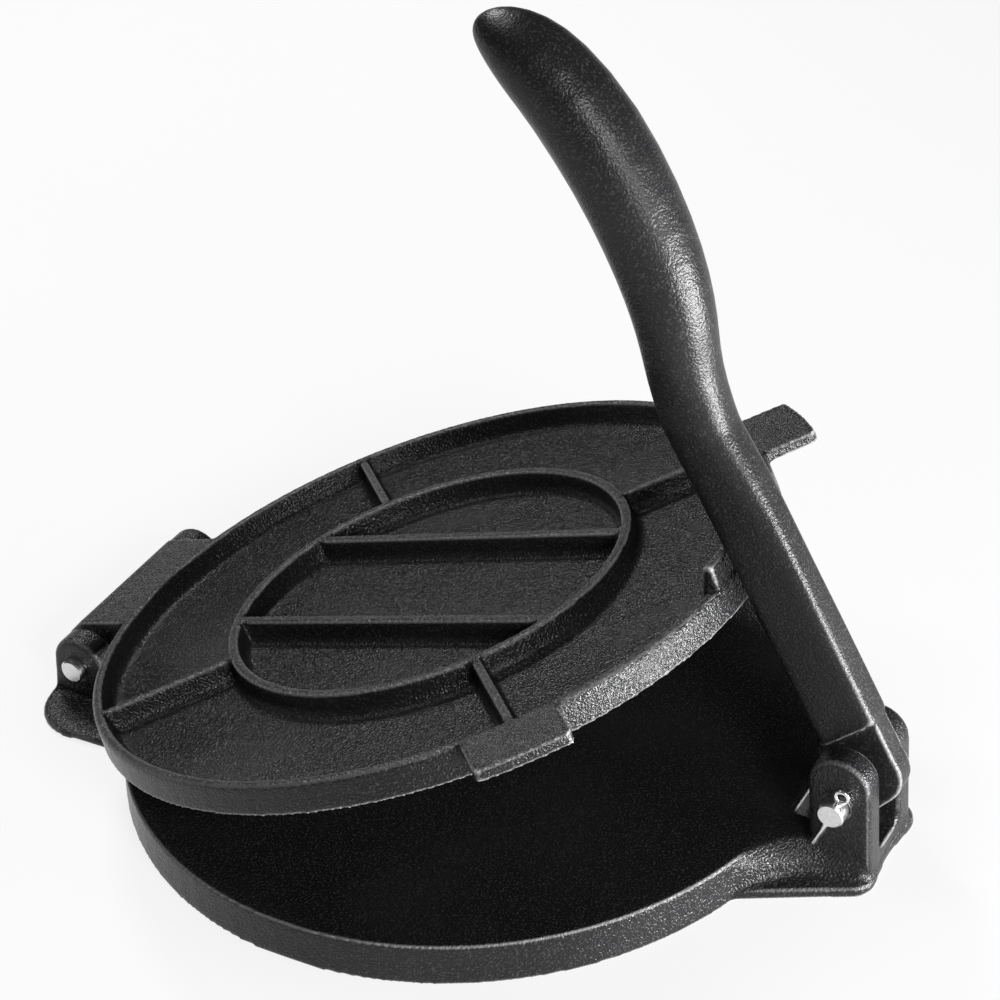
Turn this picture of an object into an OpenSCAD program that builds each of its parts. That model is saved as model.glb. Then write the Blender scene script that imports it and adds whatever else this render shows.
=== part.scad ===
// Cast iron tortilla press, shown with its lid raised and its lever leaning in.
// Millimetres, +Z up. The origin is the middle of the round base, on the table.
// +X runs from the lid's hinge to the lever. The press is symmetrical about the XZ plane.

/* [Base plate] */
// Radius of the base plate at the table
plate_r = 128; // [110:1:150]
// Height of the base plate's pressing face above the table
plate_h = 15.4; // [13:0.1:19]
// Inward lean of the side wall from the table to the top edge
plate_draft = 1; // [0:0.1:2]
// Thickness of the plate under the pressing face
plate_t = 5.6; // [4:0.1:8]
// Thickness of the side wall under the plate
skirt_t = 5; // [4:0.1:8]
// Thickness of the cross ribs under the plate
under_rib_t = 5; // [3:0.1:8]
// Gap from the table to the cross ribs
under_rib_gap = 2; // [0.5:0.1:4]
// Radius of the flat pad under the plate's middle
hub_r = 14; // [8:0.5:20]

/* [Lid hinge] */
// Distance from the plate's wall to the hinge axis
hinge_reach = 21.5; // [20:0.1:25]
// Height of the hinge axis above the table
hinge_z = 14; // [12.5:0.1:16]
// Radius of the hinge pin
hinge_pin_r = 4.75; // [3.5:0.05:6]
// Length of hinge pin that shows past each lug
hinge_pin_proud = 2.5; // [1:0.1:5]
// Gap between each hinge lug and the knuckle
hinge_side_gap = 1; // [0.4:0.1:2]
// Thickness of each hinge lug
hinge_lug_t = 10; // [7:0.1:14]
// Radius of the rounded top of each hinge lug
hinge_lug_r = 11.2; // [10.5:0.1:13]
// How far the lug's round top sits above the hinge axis and towards the plate
hinge_lug_off = 1.6; // [0:0.1:3]
// How much the back of the lug spreads towards the table
hinge_lug_spread = 2.4; // [0.5:0.1:5]
// Corner radius of the foot beside each hinge lug
hinge_foot_r = 20; // [14:0.5:26]
// Thickness of the foot beside each hinge lug
hinge_foot_t = 2.8; // [2:0.1:5]
// Rounding of every lug's edges
lug_edge_r = 1.8; // [0.5:0.1:2.5]

/* [Lever clevis] */
// Distance from the plate's wall to the lever's pivot
pivot_reach = 20.2; // [18:0.1:26]
// Height of the lever's pivot above the table
pivot_z = 31.5; // [30:0.1:36]
// Radius of the pivot pin
pivot_pin_r = 4.75; // [3.5:0.05:5.5]
// Length of pivot pin that shows past each clevis lug
pivot_pin_proud = 5.2; // [4.6:0.1:8]
// Gap between the clevis lugs
slot_w = 15.8; // [14.6:0.1:20]
// Thickness of each clevis lug
lug_t = 10; // [7:0.1:14]
// Width of each clevis lug, front to back
lug_w = 22; // [21:0.1:28]
// Distance from the pivot to the clevis's front face
lug_front = 11.9; // [11.5:0.1:13]
// Height of the clevis lugs above the pivot
lug_rise = 19; // [16:0.1:24]
// Rounding of the slot's lower corners
slot_corner_r = 3.4; // [1:0.1:3.6]
// Height of the web that joins the lugs at the bottom
web_h = 9; // [6:0.1:9.4]
// Half width of the clevis foot where it leaves the plate
foot_root = 43.6; // [38:0.1:50]
// How far the foot stands out past the side of each lug
foot_lip = 6.6; // [5.5:0.1:8]
// How far the foot stands out past the front of each lug
foot_nose = 1.2; // [0.8:0.1:2]
// Radius of the foot's front corners
foot_corner_r = 8; // [7:0.5:9]
// How far the foot's front is drawn in between its corners
foot_dip = 1.8; // [0.5:0.1:2]
// Thickness of the foot's lip on the table
foot_t = 4; // [2.5:0.1:5]
// Height of the ridge above the table
ridge_h = 7.8; // [6.6:0.1:9]
// Fullness of the sweep from the plate's edge into each lug
sweep_r = 14; // [10:0.5:17]

/* [Lid] */
// How far the lid's edge stays inside the plate's edge
lid_inset = 1.1; // [0.5:0.1:4]
// Offset of the lid's centre from the plate's centre, towards the hinge
lid_shift = 4.7; // [3.6:0.1:6]
// Gap between the plates when the lid is shut
plate_gap = 0.4; // [0.3:0.1:3]
// Angle that the lid is raised by
lid_open = 16.6; // [5:0.1:40]
// Height of the lid from its pressing face to its rim
lid_h = 11.5; // [10:0.1:16]
// Thickness of the lid's floor
lid_floor_t = 3; // [2.5:0.1:5]
// Inward lean of the lid's side wall
lid_draft = 0.7; // [0:0.1:3]
// Thickness of the rim at its top
rim_t = 3.6; // [2.5:0.1:6]
// Outer radius of the inner ring
ring_r = 75; // [60:0.5:85]
// Thickness of the inner ring at its top
ring_t = 3.8; // [2.5:0.1:6]
// Thickness of the radial ribs
rib_t = 3.2; // [2:0.1:6]
// Number of radial ribs
rib_n = 4; // [4:2:8]
// Half distance between the middles of the two bars across the ring
bar_off = 27.5; // [18:0.5:36]
// Thickness of the two bars
bar_t = 4.4; // [3:0.1:6]
// Fillet where the rim, ring and ribs meet the floor
floor_fillet = 2.6; // [1:0.1:4]
// Half width of the hinge tab
tab_half = 29.9; // [22:0.1:36]
// Radius of the knuckle round the hinge pin
knuckle_r = 11.4; // [9.5:0.1:11.8]

/* [Lid tabs] */
// Distance that each finger tab stands out from the rim
ear_len = 19.5; // [12:0.5:26]
// Width of each finger tab
ear_w = 33; // [24:0.5:42]
// Thickness of each finger tab
ear_t = 4.4; // [3:0.1:7]
// Corner radius of each finger tab
ear_r = 4.5; // [1:0.5:10]
// Angle of each finger tab from the lever's side
ear_angle = 45.5; // [35:0.5:60]
// Half width of the lever pad on the rim
pad_half = 12.5; // [8:0.1:18]
// Height of the lever pad above the rim
pad_h = 8.4; // [4:0.1:10]
// Thickness of the lever pad at its top
pad_t = 4; // [3:0.1:8]
// How far the lever pad sits in from the lid's edge
pad_inset = 0.8; // [0.8:0.1:4]

/* [Lever] */
// Distance from the pivot to the back of the lever bar
bar_back = 4.3; // [1:0.1:5]
// Width of the lever bar
bar_w = 23.8; // [19:0.1:27]
// Thickness of the lever bar
lever_t = 13; // [10:0.1:14]
// Height of the bar's shoulder above the pivot
shoulder_u = 17; // [14:0.1:24]
// Height where the bar turns into the grip
neck_u = 139; // [120:1:160]
// Side thickness of the tongue between the clevis lugs
tongue_t = 9; // [6:0.1:12]
// Radius of the lever's heel
heel_r = 12.4; // [10:0.1:14]
// How far the heel's front bulges forward of the pivot
heel_fwd = 7.1; // [4:0.1:9]
// Length of the grip from its neck to its tip, along the lever
grip_len = 140.4; // [120:0.1:160]
// How far the grip bows forward of the bar
grip_bow = 14; // [8:0.5:20]
// How far the grip's tip hooks back past the bar
grip_hook = 10.7; // [4:0.1:16]
// Radius of the grip at its neck
grip_neck_r = 11.9; // [10:0.1:14]
// Radius of the grip at its fullest
grip_belly_r = 14.9; // [12:0.1:16]
// Length of the grip's rounded end
grip_tip_len = 25; // [16:0.5:30]

/* [Split pins] */
// Radius of a closed split pin
split_r = 1.6; // [1:0.05:1.8]
// Length of the legs below the pivot pin's axis
split_leg = 17.5; // [10:0.5:22]
// Angle that each leg is spread by
split_spread = 3; // [0:0.5:12]
// Outer radius of the eye
split_eye_r = 2.9; // [2.6:0.1:4.5]
// Lean of the split pins from upright
split_lean = 24; // [0:1:60]

/* [Fits] */
// Running clearance round a pin, on the radius
run_gap = 0.08; // [0.05:0.01:0.1]
// Clearance round a pin that stays put, on the radius
seat_gap = 0.04; // [0.02:0.01:0.08]
// Clearance between the lever's back and the lid's edge as the lid swings
lever_gap = 0.5; // [0.3:0.1:1.5]

/* [Hidden] */
eps = 0.01;
iron = "#2b2c2e";
steel = "#c9ccd0";

// places of the two axes
hinge_x = -(plate_r + hinge_reach);
pivot_x = plate_r + pivot_reach;
// the lid, measured from the hinge axis while it is shut
lid_r = plate_r - lid_inset;
lid_cx = -hinge_x - lid_shift;
lid_z0 = plate_h + plate_gap - hinge_z;
lid_z1 = lid_z0 + lid_h;
lid_floor_z = lid_z0 + lid_floor_t;
rim_r = lid_r - lid_draft;
// the circle that the lid's outer edge sweeps about the hinge
lid_swing_r = max(norm([lid_cx + lid_r, lid_z0]), norm([lid_cx + rim_r, lid_z1]),
                  norm([lid_cx + rim_r - pad_inset, lid_z1 + pad_h - 1]));
// the lever leans in until its back lies one clearance off that circle
axes_dx = pivot_x - hinge_x;
axes_dz = pivot_z - hinge_z;
lever_lean = acos((lid_swing_r + lever_gap + bar_back) / norm([axes_dx, axes_dz]))
             + atan2(axes_dz, axes_dx);
// lugs
hinge_in = tab_half + hinge_side_gap;
hinge_out = hinge_in + hinge_lug_t;
lug_in = slot_w / 2;
lug_out = lug_in + lug_t;
lug_x1 = pivot_x + lug_front;
lug_x0 = lug_x1 - lug_w;
lug_top = pivot_z + lug_rise;
lug_arc = lug_w / 2;
plate_top_r = plate_r - plate_draft;
split_y = lug_out + split_r + 0.6;

// ---------- shared shapes ----------

// a solid spun from a profile of [radius, height] points
module spun(points) {
    rotate_extrude($fn = 180) polygon(points);
}

// an outline drawn in x and z, pushed along y from y0 to y1
module slab_y(y0, y1) {
    translate([0, y1, 0]) rotate([90, 0, 0]) linear_extrude(y1 - y0) children();
}

// the same child on both sides of the XZ plane
module both_sides() {
    children();
    mirror([0, 1, 0]) children();
}

// a round bar along y
module bar_y(r, y0, y1) {
    translate([0, y1, 0]) rotate([90, 0, 0]) cylinder(r = r, h = y1 - y0, $fn = 64);
}

// ---------- base, drawn 1 mm deep below the table and cut level at the end ----------

module base_plate() {
    under = plate_h - plate_t;
    difference() {
        translate([0, 0, -1])
            cylinder(r1 = plate_r + plate_draft / plate_h, r2 = plate_top_r,
                     h = plate_h + 1, $fn = 180);
        difference() {
            translate([0, 0, -2])
                cylinder(r1 = plate_r - skirt_t, r2 = plate_top_r - skirt_t,
                         h = under + 2, $fn = 180);
            translate([0, 0, -3]) cylinder(r = hub_r, h = plate_h, $fn = 48);
            for (a = [0, 90]) rotate(a)
                translate([-plate_r, -under_rib_t / 2, under_rib_gap])
                    cube([2 * plate_r, under_rib_t, plate_h]);
        }
    }
}

// steps of a lug's rounded edges, as [y, inset] from y0 to y1
function soft_steps(y0, y1) = let (r = lug_edge_r) concat(
    [for (a = [90 : -30 : 0]) [y0 + r * (1 - sin(a)), r * (1 - cos(a))]],
    [for (a = [0 : 30 : 90]) [y1 - r * (1 - sin(a)), r * (1 - cos(a))]]);

// side outline of a clevis lug, in by d: round top, upright front and back
function clevis_lug_line(d) = concat(
    [[lug_x0 + d, -1]],
    [for (a = [180 : -12 : 0]) [lug_x1 - lug_arc + (lug_arc - d) * cos(a),
                                lug_top - lug_arc + (lug_arc - d) * sin(a)]],
    [[lug_x1 - d, -1]]);

// side outline of a hinge lug, in by d: round top, its back spread to the table
hinge_cx = hinge_x + hinge_lug_off;
hinge_cz = hinge_z + hinge_lug_off;
function hinge_back_a(r, bx) = let (v = [bx - hinge_cx, -hinge_cz])
    atan2(v[1], v[0]) - acos(r / norm(v)) + 360;
function hinge_lug_line(d) = let (r = hinge_lug_r - d,
        bx = hinge_cx - hinge_lug_r - hinge_lug_spread + d, a0 = hinge_back_a(r, bx)) concat(
    [[bx, -1]],
    [for (i = [0 : 14]) let (a = a0 * (1 - i / 14)) [hinge_cx + r * cos(a), hinge_cz + r * sin(a)]],
    [[hinge_cx + r, -1]]);

// web that joins a hinge lug to the plate, below the lid
module hinge_web() {
    translate([hinge_cx, hinge_in, -1])
        cube([-plate_r * 0.93 - hinge_cx, hinge_lug_t, plate_h + 1]);
}

// plan of the foot beside a hinge lug
module hinge_foot_plan() {
    fx = hinge_x + hinge_foot_r * 0.45;
    intersection() {
        hull() {
            translate([fx, hinge_out + 1.6]) circle(r = hinge_foot_r, $fn = 72);
            translate([-plate_r * 0.85, hinge_in]) square([1, hinge_foot_r + hinge_lug_t]);
        }
        translate([hinge_x - 2 * hinge_foot_r, hinge_in])
            square([4 * hinge_foot_r + hinge_reach, 4 * hinge_foot_r]);
    }
}

module hinge_foot() {
    cove = 4;
    // the foot, with a soft edge on top
    translate([0, 0, -1]) linear_extrude(hinge_foot_t + 0.2) hinge_foot_plan();
    linear_extrude(hinge_foot_t) offset(delta = -0.8) hinge_foot_plan();
    // cove from the foot up the lug's outer face
    intersection() {
        linear_extrude(hinge_foot_t + cove) offset(delta = -0.8) hinge_foot_plan();
        translate([hinge_x - 30, 0, 0]) rotate([90, 0, 90]) linear_extrude(60)
            polygon(concat([[hinge_out - 1, 0], [hinge_out - 1, hinge_foot_t + cove]],
                [for (a = [180 : 15 : 270])
                    [hinge_out + cove + cove * cos(a), hinge_foot_t + cove + cove * sin(a)]],
                [[hinge_out + cove, 0]]));
    }
}

// Half of the clevis foot in plan: round the inside of the plate's wall, out along a path
// to the lug, round the front corner and in to the middle of the front. A corner is its
// middle, its radius and how far the front is drawn in beside it.
foot_in_r = plate_r - skirt_t * 0.8;
function on_wall(w) = foot_in_r * [cos(w), -sin(w)];
function on_corner(c, w) = [c[0] + c[2] * cos(w), c[1] - c[2] * sin(w)];
function foot_half(path, c) = let (w0 = atan2(-path[0][1], path[0][0])) concat(
    [for (i = [0.1, 2, 4, 6, 8, 10]) on_wall(w0 * i / 12)], path,
    [for (w = [55, 37, 18, 0]) on_corner(c, w)], [[c[0] + c[2] - c[3], -2]]);
function lip_corner(d) = [lug_x1 + foot_nose - foot_corner_r, foot_corner_r - lug_out - foot_lip,
                          foot_corner_r - d, foot_dip];
ridge_corner = [lug_x1 - 3, 2.5 - lug_out, 2.5, 0];
top_corner = [lug_x1 - 4, 4 - lug_out, 2, 0];
function foot_ring(half, z) = concat([for (p = half) [p[0], p[1], z]],
    [for (i = [len(half) - 1 : -1 : 0]) [half[i][0], -half[i][1], z]]);

// paths out from the wall: a straight one for the lip, and two bowed ones for the ridge and
// for the top of the sweep, each with the length and lean of its ends
function bow(p, n = 12) = [for (i = [0 : n]) let (s = i / n, r = 1 - s)
    r * r * r * p[0] + 3 * r * r * s * p[1] + 3 * r * s * s * p[2] + s * s * s * p[3]];
function lip_ends(d) = let (a = on_wall(asin((foot_root - d) / foot_in_r)),
                            b = on_corner(lip_corner(d), 68))
    [a, mix(a, b, 1 / 3), mix(a, b, 2 / 3), b];
function sweep_ends(lean, l1, l2, b, end) =
    let (w = asin((foot_root + 4.9) / foot_in_r), a = on_wall(w))
    [a, a + l1 * [sin(w + lean), cos(w + lean)], b - l2 * [cos(end), sin(end)], b];
ridge_ends = sweep_ends(16, 2 * sweep_r, 1.3 * sweep_r, [lug_x1 - 2.6, -lug_out - 0.7], 6);
top_ends = sweep_ends(12, sweep_r, sweep_r, [lug_x0 + 2, -lug_out + 0.4], 3);

module clevis_foot() {
    soft = 0.8;
    loft(concat(
        [foot_ring(foot_half(bow(lip_ends(0)), lip_corner(0)), -1),
         foot_ring(foot_half(bow(lip_ends(0)), lip_corner(0)), foot_t - soft),
         foot_ring(foot_half(bow(lip_ends(soft)), lip_corner(soft)), foot_t)],
        // the hollow between the lip and the ridge
        [for (k = [[0.4, 0.1], [0.75, 0.35], [0.93, 0.7]]) foot_ring(
            foot_half(bow(mix(lip_ends(soft), ridge_ends, k[0])),
                      mix(lip_corner(soft), ridge_corner, k[0])),
            mix(foot_t, ridge_h, k[1]))],
        // the ridge, and the sweep up from it to the plate and the lugs
        [for (t = [0, 0.03, 0.15, 0.35, 0.55, 0.78, 1]) foot_ring(
            foot_half(bow(mix(ridge_ends, top_ends, t)), mix(ridge_corner, top_corner, t)),
            mix(ridge_h, plate_h - 0.15, t == 0 ? 0 : 0.08 + 0.92 * t))]));
}

module clevis_slot() {
    slab_x0 = plate_r + 1;
    translate([slab_x0, 0, 0])
        rotate([90, 0, 90]) linear_extrude(80)
            hull() {
                for (s = [-1, 1])
                    translate([s * (lug_in - slot_corner_r), web_h + slot_corner_r])
                        circle(r = slot_corner_r, $fn = 32);
                translate([-lug_in, lug_top]) square([slot_w, 10]);
            }
}

module base_casting() {
    color(iron) difference() {
        union() {
            base_plate();
            both_sides() loft([for (k = soft_steps(hinge_in, hinge_out))
                [for (p = hinge_lug_line(k[1])) [p[0], k[0], p[1]]]]);
            both_sides() loft([for (k = soft_steps(lug_in, lug_out))
                [for (p = clevis_lug_line(k[1])) [p[0], k[0], p[1]]]]);
            clevis_foot();
            difference() {
                both_sides() {
                    hinge_web();
                    hinge_foot();
                }
                translate([0, 0, -5]) cylinder(r = foot_in_r, h = 99, $fn = 180);
            }
        }
        clevis_slot();
        // the level that stands on the table
        translate([hinge_x - 50, -plate_r - 10, -10])
            cube([pivot_x - hinge_x + 100, 2 * plate_r + 20, 10]);
        translate([hinge_x, 0, hinge_z]) bar_y(hinge_pin_r + seat_gap, -99, 99);
        translate([pivot_x, 0, pivot_z]) bar_y(pivot_pin_r + seat_gap, -99, 99);
    }
}

// ---------- lid, drawn shut with the hinge axis at the origin ----------

module lid_dish() {
    f = floor_fillet;
    spun(concat(
        [[0, lid_z0], [lid_r, lid_z0],
         [rim_r, lid_z1 - 0.8], [rim_r - 0.8, lid_z1],
         [rim_r - rim_t + 0.5, lid_z1], [rim_r - rim_t, lid_z1 - 0.5]],
        [for (a = [0 : 15 : 90]) [rim_r - rim_t - 1 - f + f * cos(a),
                                  lid_floor_z + f - f * sin(a)]],
        [[0, lid_floor_z]]));
}

module ring_wall() {
    f = floor_fillet;
    w = ring_r - ring_t;
    spun(concat(
        [for (a = [0 : 22.5 : 90]) [ring_r + 0.4 + f - f * cos(a), lid_floor_z + f - f * sin(a)]],
        [[ring_r + f, lid_floor_z - 1], [w - f, lid_floor_z - 1]],
        [for (a = [90 : -22.5 : 0]) [w - 0.4 - f + f * cos(a), lid_floor_z + f - f * sin(a)]],
        [[w, lid_z1 - 0.4], [w + 0.4, lid_z1], [ring_r - 0.4, lid_z1], [ring_r, lid_z1 - 0.4]]));
}

// a straight cast wall along x from x0 to x1, with a soft foot on both sides
module straight_wall(x0, x1, t) {
    h = lid_z1 - lid_floor_z - 0.3;
    side = [[-t / 2 - floor_fillet, -1], [-t / 2 - floor_fillet * 0.5, 0.5],
            [-t / 2 - floor_fillet * 0.2, floor_fillet * 0.75],
            [-t / 2, h - 0.4], [-t / 2 + 0.4, h]];
    translate([x0, 0, lid_floor_z])
        rotate([90, 0, 90]) linear_extrude(x1 - x0)
            polygon(concat(side, [for (i = [len(side) - 1 : -1 : 0]) [-side[i][0], side[i][1]]]));
}

module ear() {
    rotate(ear_angle)
        translate([0, 0, lid_z1 - ear_t]) linear_extrude(ear_t) difference() {
            intersection() {
                circle(r = rim_r + ear_len, $fn = 180);
                offset(r = ear_r, $fn = 32) offset(delta = -ear_r)
                    translate([rim_r - 14, -ear_w / 2])
                        square([ear_len + 14.6, ear_w]);
            }
            circle(r = rim_r - rim_t / 2, $fn = 180);
        }
}

// raised pad on the rim that the lever bears on
module lever_pad() {
    x1 = rim_r - pad_inset;
    slab_y(-pad_half, pad_half)
        polygon([[x1 - 1, lid_floor_z - 1], [x1 - 1, lid_z1 - 1], [x1, lid_z1 - 1],
                 [x1, lid_z1 + pad_h - 1], [x1 - 1, lid_z1 + pad_h],
                 [x1 - pad_t + 1, lid_z1 + pad_h], [x1 - pad_t, lid_z1 + pad_h - 1],
                 [x1 - pad_t - pad_h * 0.26, lid_z1], [x1 - pad_t - pad_h * 0.5, lid_floor_z - 1]]);
}

module hinge_tab() {
    x1 = lid_cx - sqrt(rim_r * rim_r - tab_half * tab_half) + rim_t;
    difference() {
        slab_y(-tab_half, tab_half) hull() {
            circle(r = knuckle_r, $fn = 96);
            translate([hinge_reach - lid_shift + 1, lid_z0 + 1]) square([eps, lid_h - 1]);
            translate([0, lid_z1 - 1]) square([x1, 1]);
        }
        // it stops in the middle of the rim's wall
        translate([lid_cx, 0, -lid_h]) cylinder(r = rim_r - rim_t / 2, h = 4 * lid_h, $fn = 180);
    }
}

module lid_shut() {
    difference() {
        union() {
            hinge_tab();
            translate([lid_cx, 0, 0]) {
                lid_dish();
                ring_wall();
                for (i = [0 : rib_n - 1]) rotate(45 + i * 360 / rib_n)
                    straight_wall(ring_r - ring_t / 2, rim_r - rim_t / 2, rib_t);
                bar_len = sqrt(pow(ring_r - ring_t / 2, 2) - bar_off * bar_off);
                both_sides() translate([0, bar_off, 0])
                    straight_wall(-bar_len, bar_len, bar_t);
                both_sides() ear();
                lever_pad();
            }
        }
        bar_y(hinge_pin_r + run_gap, -99, 99);
    }
}

module lid_casting() {
    color(iron)
        translate([hinge_x, 0, hinge_z]) rotate([0, -lid_open, 0]) lid_shut();
}

// ---------- lever, drawn upright with its pivot at the origin ----------

// superellipse ring: half widths a and b, squareness e, centre [x, z], tilted by t
function lever_ring(x, z, a, b, e, t, n = 40) =
    [for (i = [0 : n - 1]) let (w = 360 * i / n,
        p = a * sign(cos(w)) * pow(abs(cos(w)), 2 / e),
        q = b * sign(sin(w)) * pow(abs(sin(w)), 2 / e))
        [x + p * cos(t), q, z + p * sin(t)]];

function mix(a, b, t) = a + (b - a) * t;
// smooth step from 0 to 1
function ease(t) = let (c = min(1, max(0, t))) c * c * (3 - 2 * c);

// the bar, from its shoulder to the neck
bar_mid = bar_w / 2 - bar_back;
bar_rings = [for (s = [0, 0.1, 0.3, 0.5, 0.68, 0.8, 0.88, 0.95]) let (
        t = s < 0.05 ? 14 : s < 0.15 ? 8 : 0,
        front = bar_mid + bar_w / 2 - 1.6 * ease((s - 0.72) / 0.28),
        back = -bar_back - 0.8 * ease((s - 0.74) / 0.26))
        lever_ring((front + back) / 2, mix(shoulder_u + 2, neck_u, s),
                   (front - back) / 2 / cos(t),
                   mix(lever_t / 2, grip_neck_r * 0.82, ease((s - 0.5) / 0.62)),
                   mix(8, 2.7, ease((s - 0.1) / 0.95)), t)];

// the grip, along a curve drawn by five control points [forward, up] from the neck
grip_pts = [[bar_mid - 0.9, neck_u],
            [bar_mid + grip_bow * 0.38, neck_u + grip_len * 0.305],
            [bar_mid + grip_bow * 0.84, neck_u + grip_len * 0.096],
            [bar_mid + grip_bow * 1.91, neck_u + grip_len * 0.882],
            [bar_mid - grip_hook - 1.4, neck_u + grip_len]];
// weights of the five control points at fraction s of the way to the tip
function weights(s) = [pow(1 - s, 4), 4 * s * pow(1 - s, 3), 6 * pow(s * (1 - s), 2),
                       4 * pow(s, 3) * (1 - s), pow(s, 4)];
function slopes(s) = [-4 * pow(1 - s, 3), 4 * pow(1 - s, 2) * (1 - 4 * s),
                      12 * s * (1 - s) * (1 - 2 * s), 4 * s * s * (3 - 4 * s), 4 * pow(s, 3)];
function grip_c(s) = weights(s) * grip_pts;
function grip_a(s) = let (d = slopes(s) * grip_pts) atan2(d[0], d[1]);
// full radius, then an egg-shaped end
function grip_r(s) = mix(grip_neck_r, grip_belly_r, ease((s - 0.02) / 0.68))
                     - (grip_belly_r - grip_neck_r) * 1.35 * ease((s - 0.72) / 0.36);
function tip_f(s) = let (d = (1 - s) * grip_len * 1.1)
    d >= grip_tip_len ? 1 : sqrt(max(0, 1 - pow(1 - d / grip_tip_len, 2.3)));
grip_s = concat([for (i = [0 : 13]) i / 16.5],
                [0.835, 0.87, 0.9, 0.925, 0.947, 0.965, 0.979, 0.99, 0.997]);
grip_rings = [for (s = grip_s) let (c = grip_c(s), r = grip_r(s) * tip_f(s),
        k = ease(s / 0.22))
        lever_ring(c[0], c[1], r, r * mix(0.84, 1, k), mix(2.6, 2, k),
                   -grip_a(s))];

module loft(rings) {
    n = len(rings[0]);
    m = len(rings);
    polyhedron(
        points = [for (r = rings) for (p = r) p],
        faces = concat(
            [[for (i = [0 : n - 1]) i]],
            [for (j = [0 : m - 2]) for (i = [0 : n - 1]) let (k = (i + 1) % n)
                each [[j * n + i, (j + 1) * n + i, j * n + k],
                      [j * n + k, (j + 1) * n + i, (j + 1) * n + k]]],
            [[for (i = [n - 1 : -1 : 0]) (m - 1) * n + i]]),
        convexity = 6);
}

module tongue_outline() {
    hull() {
        circle(r = heel_r, $fn = 96);
        translate([heel_fwd, 3]) circle(r = heel_r, $fn = 96);
    }
    translate([-bar_back, 0]) square([bar_w - 0.3, shoulder_u + 12]);
    polygon([[-heel_r, 0], [-bar_back, 20], [0, 20], [0, 0]]);
}

module lever_upright() {
    difference() {
        union() {
            loft(concat(bar_rings, grip_rings));
            slab_y(-tongue_t / 2, tongue_t / 2) tongue_outline();
        }
        bar_y(pivot_pin_r + run_gap, -99, 99);
    }
}

module lever_casting() {
    color(iron)
        translate([pivot_x, 0, pivot_z]) rotate([0, -lever_lean, 0]) lever_upright();
}

// ---------- pins ----------

module plain_pin(r, half) {
    rotate([90, 0, 0]) {
        cylinder(r = r, h = 2 * (half - 0.6), center = true, $fn = 64);
        for (s = [0, 1]) mirror([0, 0, s])
            translate([0, 0, half - 0.6]) cylinder(r1 = r, r2 = r - 0.6, h = 0.6, $fn = 64);
    }
}

module hinge_pin() {
    color(steel) translate([hinge_x, 0, hinge_z])
        plain_pin(hinge_pin_r, hinge_out + hinge_pin_proud);
}

module pivot_pin() {
    color(steel) translate([pivot_x, 0, pivot_z]) difference() {
        plain_pin(pivot_pin_r, lug_out + pivot_pin_proud);
        both_sides() translate([0, split_y, 0]) rotate([0, split_lean, 0])
            cylinder(r = split_r + seat_gap, h = 4 * pivot_pin_r, center = true, $fn = 32);
    }
}

// folded wire through the pin, its eye above and its two legs spread below, in the XZ plane
module split_pin() {
    above = pivot_pin_r + 0.7;
    below = pivot_pin_r + 1.5;
    wire = split_r * 0.9;
    translate([0, 0, -below]) cylinder(r = split_r, h = above + below, $fn = 32);
    for (s = [0, 1]) mirror([s, 0, 0])
        translate([0, 0, 0.8 - below]) rotate([0, 180 + split_spread, 0])
            linear_extrude(split_leg - below) intersection() {
                circle(r = wire, $fn = 32);
                translate([-2 * wire, -wire]) square([2 * wire - 0.1, 2 * wire]);
            }
    translate([0, 0, above + split_eye_r - wire * 0.4]) rotate([90, 0, 0])
        rotate_extrude($fn = 48) translate([split_eye_r - wire / 2, 0])
            circle(r = wire / 2, $fn = 20);
}

module place_split(s) {
    color(steel) translate([pivot_x, s * split_y, pivot_z])
        rotate([0, split_lean, 0]) split_pin();
}

module split_pin_near() { place_split(-1); }

module split_pin_far() { place_split(1); }

base_casting();
lid_casting();
lever_casting();
hinge_pin();
pivot_pin();
split_pin_near();
split_pin_far();
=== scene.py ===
"""A cast iron tortilla press, dressed round its CAD frame, in the order it is put together."""
import math

import bpy
from mathutils import Matrix, Vector

# The iron's skin: how often each pattern comes in a metre, and how far it stands out, in
# metres. The grain is drawn coarse enough to show at the photograph's size.
GRAIN_PER_M = 1250.0            # sand grain, 0.8 mm
DIMPLES_PER_M = 300.0           # shallow dimples, 3.3 mm
CLOUDS_PER_M = 22.0             # clouds in the colour and the shine, 45 mm
DIMPLE_HEIGHT = 0.00032
PLATE_GRAIN, PLATE_ROUGHNESS = 0.00045, 0.22
LEVER_GRAIN, LEVER_ROUGHNESS = 0.0002, 0.3
SKIN_VOXEL = 0.0008             # the size of step that softens the castings' edges

OIL_DARK, OIL_LIGHT = "#141415", "#1c1c1d"
# EDGE_WEAR_AND_HIGHLIGHT: the light grey along the edges, partly wear and partly a painted
# highlight
# RUBBED_GRAIN_AND_GLINT: the lighter grey of the highest grains, partly rubbed iron and partly
# painted glints
RUBBED_GRAIN_AND_GLINT, EDGE_WEAR_AND_HIGHLIGHT = "#2e2e2f", "#b4b4b5"
IRON_SPECULAR = 0.23            # matched to the photograph: the usual level is 0.5

MARKS_PER_M = 900.0             # faint marks on the steel, 1.1 mm
SHARP_ANGLE = math.radians(35)  # a pin's edges that turn by more than this stay sharp

FLOOR_SIZE = 12.0
FLOOR_WHITE_SHARE = 0.8         # how much of the floor's look is plain white
WORLD_LIGHT = 0.05

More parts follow.
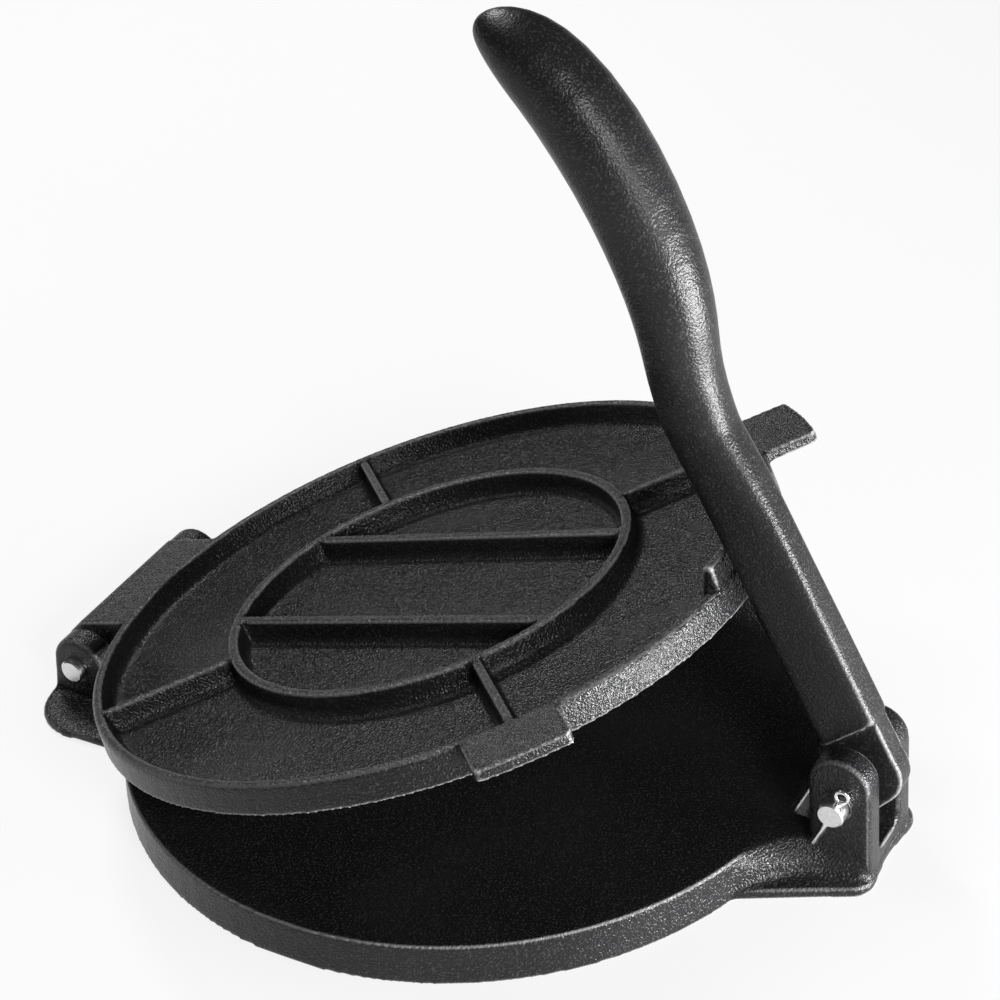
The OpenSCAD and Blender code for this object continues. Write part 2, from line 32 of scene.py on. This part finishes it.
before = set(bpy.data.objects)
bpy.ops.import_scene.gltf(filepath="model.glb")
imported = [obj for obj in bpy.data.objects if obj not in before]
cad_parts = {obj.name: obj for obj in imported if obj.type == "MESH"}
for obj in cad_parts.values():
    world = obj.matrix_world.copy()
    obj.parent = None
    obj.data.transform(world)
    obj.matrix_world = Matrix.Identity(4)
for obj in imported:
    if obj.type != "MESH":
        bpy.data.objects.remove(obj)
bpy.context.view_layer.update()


def linear(code):
    """The linear colour of an sRGB hex code."""
    parts = [int(code[i:i + 2], 16) / 255 for i in (1, 3, 5)]
    return [c / 12.92 if c <= 0.04045 else ((c + 0.055) / 1.055) ** 2.4 for c in parts] + [1.0]


def new_material(name):
    """A new material and its main shader."""
    material = bpy.data.materials.new(name)
    material.use_nodes = True
    return material, material.node_tree.nodes["Principled BSDF"]


def node(material, kind, settings=None, **links):
    """Adds a shader node. settings are its own properties. links are its input sockets, by
    name, or by number after a _ where sockets share a name."""
    made = material.node_tree.nodes.new(kind)
    for name, value in (settings or {}).items():
        setattr(made, name, value)
    for name, value in links.items():
        key = int(name[1:]) if name[0] == "_" else name.replace("_", " ")
        if hasattr(value, "links"):
            material.node_tree.links.new(value, made.inputs[key])
        else:
            made.inputs[key].default_value = value
    return made


def blend(material, share, first, second):
    """Goes from the first colour to the second. 6 and 7 are a Mix node's colour sockets."""
    return node(material, "ShaderNodeMix", {"data_type": "RGBA"}, Factor=share, _6=first,
                _7=second).outputs[2]


# ---------------------------------------------------------------- Base casting
# The round plate with its two hinge lugs and its clevis, poured in one piece of grey cast
# iron in a sand mould, then oiled and baked black. The sand gives a fine pebbled skin and
# rounds the edges a little.


def seasoned_cast_iron(name, seed, grain_height, roughness):
    """Seasoned cast iron, sand cast: near-black baked oil over a pebbled skin, satin, with the
    highest grains painted lighter, partly rubbed iron and partly painted glints, and the high
    edges painted light grey, partly wear and partly a painted highlight."""
    material, shader = new_material(name)
    link = material.node_tree.links.new
    place = node(material, "ShaderNodeTexCoord").outputs["Object"]
    grain = node(material, "ShaderNodeTexNoise", Vector=place, Scale=GRAIN_PER_M, Detail=1.0,
                 Roughness=0.5).outputs["Fac"]
    dimples = node(material, "ShaderNodeTexNoise", Vector=place, Scale=DIMPLES_PER_M,
                   Detail=2.0, Distortion=0.3).outputs["Fac"]
    clouds = node(material, "ShaderNodeTexNoise", {"noise_dimensions": "4D"}, Vector=place,
                  W=seed, Scale=CLOUDS_PER_M, Detail=3.0).outputs["Fac"]
    oil = node(material, "ShaderNodeValToRGB", Fac=clouds)
    for stop, at, code in zip(oil.color_ramp.elements, (0.35, 0.7), (OIL_DARK, OIL_LIGHT)):
        stop.position = at
        stop.color = linear(code)
    # the highest grains are painted a lighter grey, partly rubbed iron and partly painted
    # glints, and the edges lighter still, partly wear and partly a painted highlight
    peaks = node(material, "ShaderNodeMapRange", Value=grain, From_Min=0.57, From_Max=0.68)
    speckled = blend(material, peaks.outputs["Result"], oil.outputs["Color"],
                     linear(RUBBED_GRAIN_AND_GLINT))
    # the edges' light grey is partly wear and partly a painted highlight
    bend = node(material, "ShaderNodeNewGeometry").outputs["Pointiness"]
    edges = node(material, "ShaderNodeMapRange", Value=bend, From_Min=0.52, From_Max=0.59)
    worn_and_highlit = blend(material, edges.outputs["Result"], speckled, linear(EDGE_WEAR_AND_HIGHLIGHT))
    link(worn_and_highlit, shader.inputs["Base Color"])
    rough = node(material, "ShaderNodeMapRange", Value=clouds, From_Min=0.3, From_Max=0.7,
                 To_Min=roughness, To_Max=roughness + 0.08)
    link(rough.outputs["Result"], shader.inputs["Roughness"])
    low = node(material, "ShaderNodeBump", Strength=0.5, Distance=DIMPLE_HEIGHT,
               Height=dimples)
    fine = node(material, "ShaderNodeBump", Strength=1.0, Distance=grain_height, Height=grain,
                Normal=low.outputs["Normal"])
    link(fine.outputs["Normal"], shader.inputs["Normal"])
    shader.inputs["Specular IOR Level"].default_value = IRON_SPECULAR
    return material


def dress(name, material):
    """Gives a CAD casting its finish and the soft edges of a sand mould."""
    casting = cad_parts[name]
    casting.data.materials.clear()
    casting.data.materials.append(material)
    soften = casting.modifiers.new("Sand mould skin", "REMESH")
    soften.mode = "VOXEL"
    soften.voxel_size = SKIN_VOXEL
    soften.use_smooth_shade = True
    round_edges = casting.modifiers.new("Rounded edges", "SMOOTH")
    round_edges.factor = 0.5
    round_edges.iterations = 5


dress("base_casting", seasoned_cast_iron("Seasoned cast iron, base", 1.0, PLATE_GRAIN,
                                         PLATE_ROUGHNESS))

# ---------------------------------------------------------------- Lid casting
# The upper plate with its rim, ring, ribs, finger tabs, lever pad and hinge knuckle, cast
# in one piece of the same iron. Its pressing face is turned down.
dress("lid_casting", seasoned_cast_iron("Seasoned cast iron, lid", 5.0, PLATE_GRAIN,
                                        PLATE_ROUGHNESS))

# ---------------------------------------------------------------- Lever casting
# The handle: a flat bar that turns into a round curved grip, cast in one piece. It swings
# on the pivot pin and its back presses on the lid's pad. Its skin is finer than the plates'.
dress("lever_casting", seasoned_cast_iron("Seasoned cast iron, lever", 9.0, LEVER_GRAIN,
                                          LEVER_ROUGHNESS))

# ---------------------------------------------------------------- Pins
# Plain round steel rods, cut to length and pushed through the lugs. The hinge pin is a
# tight fit, and the pivot pin is held by a split pin at each end.


def steel(name, code, roughness):
    """Bright drawn steel: a clean metal with faint marks on it."""
    material, shader = new_material(name)
    link = material.node_tree.links.new
    shader.inputs["Metallic"].default_value = 1.0
    place = node(material, "ShaderNodeTexCoord").outputs["Object"]
    marks = node(material, "ShaderNodeTexNoise", Vector=place, Scale=MARKS_PER_M,
                 Detail=3.0).outputs["Fac"]
    link(blend(material, marks, linear(code), linear("#f2f2f0")), shader.inputs["Base Color"])
    rough = node(material, "ShaderNodeMapRange", Value=marks, To_Min=roughness - 0.06,
                 To_Max=roughness + 0.08)
    link(rough.outputs["Result"], shader.inputs["Roughness"])
    bump = node(material, "ShaderNodeBump", Strength=0.15, Distance=0.0001, Height=marks)
    link(bump.outputs["Normal"], shader.inputs["Normal"])
    return material


rod = steel("Drawn steel rod", "#b9babb", 0.3)
wire = steel("Zinc plated steel wire", "#cfd0d1", 0.25)
for name, finish in (("hinge_pin", rod), ("pivot_pin", rod), ("split_pin_near", wire),
                     ("split_pin_far", wire)):
    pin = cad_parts[name]
    pin.data.materials.clear()
    pin.data.materials.append(finish)
    pin.data.shade_smooth()
    pin.modifiers.new("Sharp ends", "EDGE_SPLIT").split_angle = SHARP_ANGLE

# ---------------------------------------------------------------- Floor, light and camera
# A flat white floor, four soft lamps, and the camera where the photograph was taken from.


def floor_material():
    """Matt white board. It shows nearly pure white to the camera, and keeps a soft shadow."""
    material, board = new_material("Matt white board")
    board.inputs["Base Color"].default_value = linear("#f0f0f0")
    board.inputs["Roughness"].default_value = 0.9
    white = node(material, "ShaderNodeEmission", Strength=1.0).outputs["Emission"]
    ray = node(material, "ShaderNodeLightPath").outputs
    seen = ray["Is Camera Ray"]
    for other in ("Is Glossy Ray", "Is Transmission Ray"):
        seen = node(material, "ShaderNodeMath", {"operation": "MAXIMUM"}, _0=seen,
                    _1=ray[other]).outputs[0]
    share = node(material, "ShaderNodeMath", {"operation": "MULTIPLY"}, _0=seen,
                 _1=FLOOR_WHITE_SHARE).outputs[0]
    mixed = node(material, "ShaderNodeMixShader", _0=share, _1=board.outputs["BSDF"], _2=white)
    output = material.node_tree.nodes["Material Output"]
    material.node_tree.links.new(mixed.outputs["Shader"], output.inputs["Surface"])
    return material


bpy.ops.mesh.primitive_plane_add(size=FLOOR_SIZE, location=(0, 0, 0))
floor = bpy.context.object
floor.name = "floor"
floor.data.materials.append(floor_material())

world = bpy.data.worlds.new("Studio")
bpy.context.scene.world = world
world.use_nodes = True
world.node_tree.nodes["Background"].inputs["Color"].default_value = (1, 1, 1, 1)
world.node_tree.nodes["Background"].inputs["Strength"].default_value = WORLD_LIGHT

# Each lamp's bearing from +X towards +Y and its rise, in degrees from TARGET, how far away
# it stands and its width and height, in metres, and its power in watts. The low strip
# lights the walls on the lever's side. Seen from the hinge's side it glares on the base's
# pressing face and turns it white, which is a known fault.
TARGET = Vector((0.02, 0.0, 0.1))
for name, bearing, rise, away, size, power in (
        ("Top soft box", 175, 60, 1.5, (0.65, 0.65), 6.6),
        ("Key soft box", -36, 27, 1.3, (0.36, 0.36), 11.5),
        ("Low strip", 0, -5.0, 0.75, (0.5, 0.065), 19.0),
        ("Back soft box", 140, 42, 1.3, (0.3, 0.25), 7.3)):
    data = bpy.data.lights.new(name, "AREA")
    data.shape = "RECTANGLE"
    data.size, data.size_y = size
    data.energy = power
    lamp = bpy.data.objects.new(name, data)
    bearing, rise = math.radians(bearing), math.radians(rise)
    towards = Vector((math.cos(bearing) * math.cos(rise), math.sin(bearing) * math.cos(rise),
                      math.sin(rise)))
    lamp.location = TARGET + towards * away
    lamp.rotation_mode = "QUATERNION"
    lamp.rotation_quaternion = (-towards).to_track_quat("-Z", "Y")
    bpy.context.collection.objects.link(lamp)

# The camera, solved from the photograph: its turn from +Y towards -X, its tilt down and its
# roll, in degrees, its place in metres, and its focal length in widths of the sensor.
CAMERA_ANGLES = (31.988, 33.568, -5.147)
CAMERA_PLACE = (0.42392, -0.64933, 0.61632)
FOCAL_WIDTHS = 2.716
SENSOR_WIDTH = 36.0
turn, tilt, roll = (math.radians(angle) for angle in CAMERA_ANGLES)
ahead = Vector((-math.sin(turn) * math.cos(tilt), math.cos(turn) * math.cos(tilt),
                -math.sin(tilt)))
level = Vector((math.cos(turn), math.sin(turn), 0))
upward = level.cross(ahead)
right = level * math.cos(roll) + upward * math.sin(roll)
up = upward * math.cos(roll) - level * math.sin(roll)
camera_data = bpy.data.cameras.new("Camera")
camera_data.sensor_width = SENSOR_WIDTH
camera_data.lens = SENSOR_WIDTH * FOCAL_WIDTHS
camera_data.clip_start, camera_data.clip_end = 0.05, 20.0
camera = bpy.data.objects.new("Camera", camera_data)
camera.matrix_world = Matrix((right, up, -ahead)).transposed().to_4x4()
camera.location = CAMERA_PLACE
bpy.context.collection.objects.link(camera)
bpy.context.scene.camera = camera
bpy.context.scene.view_settings.view_transform = "Standard"
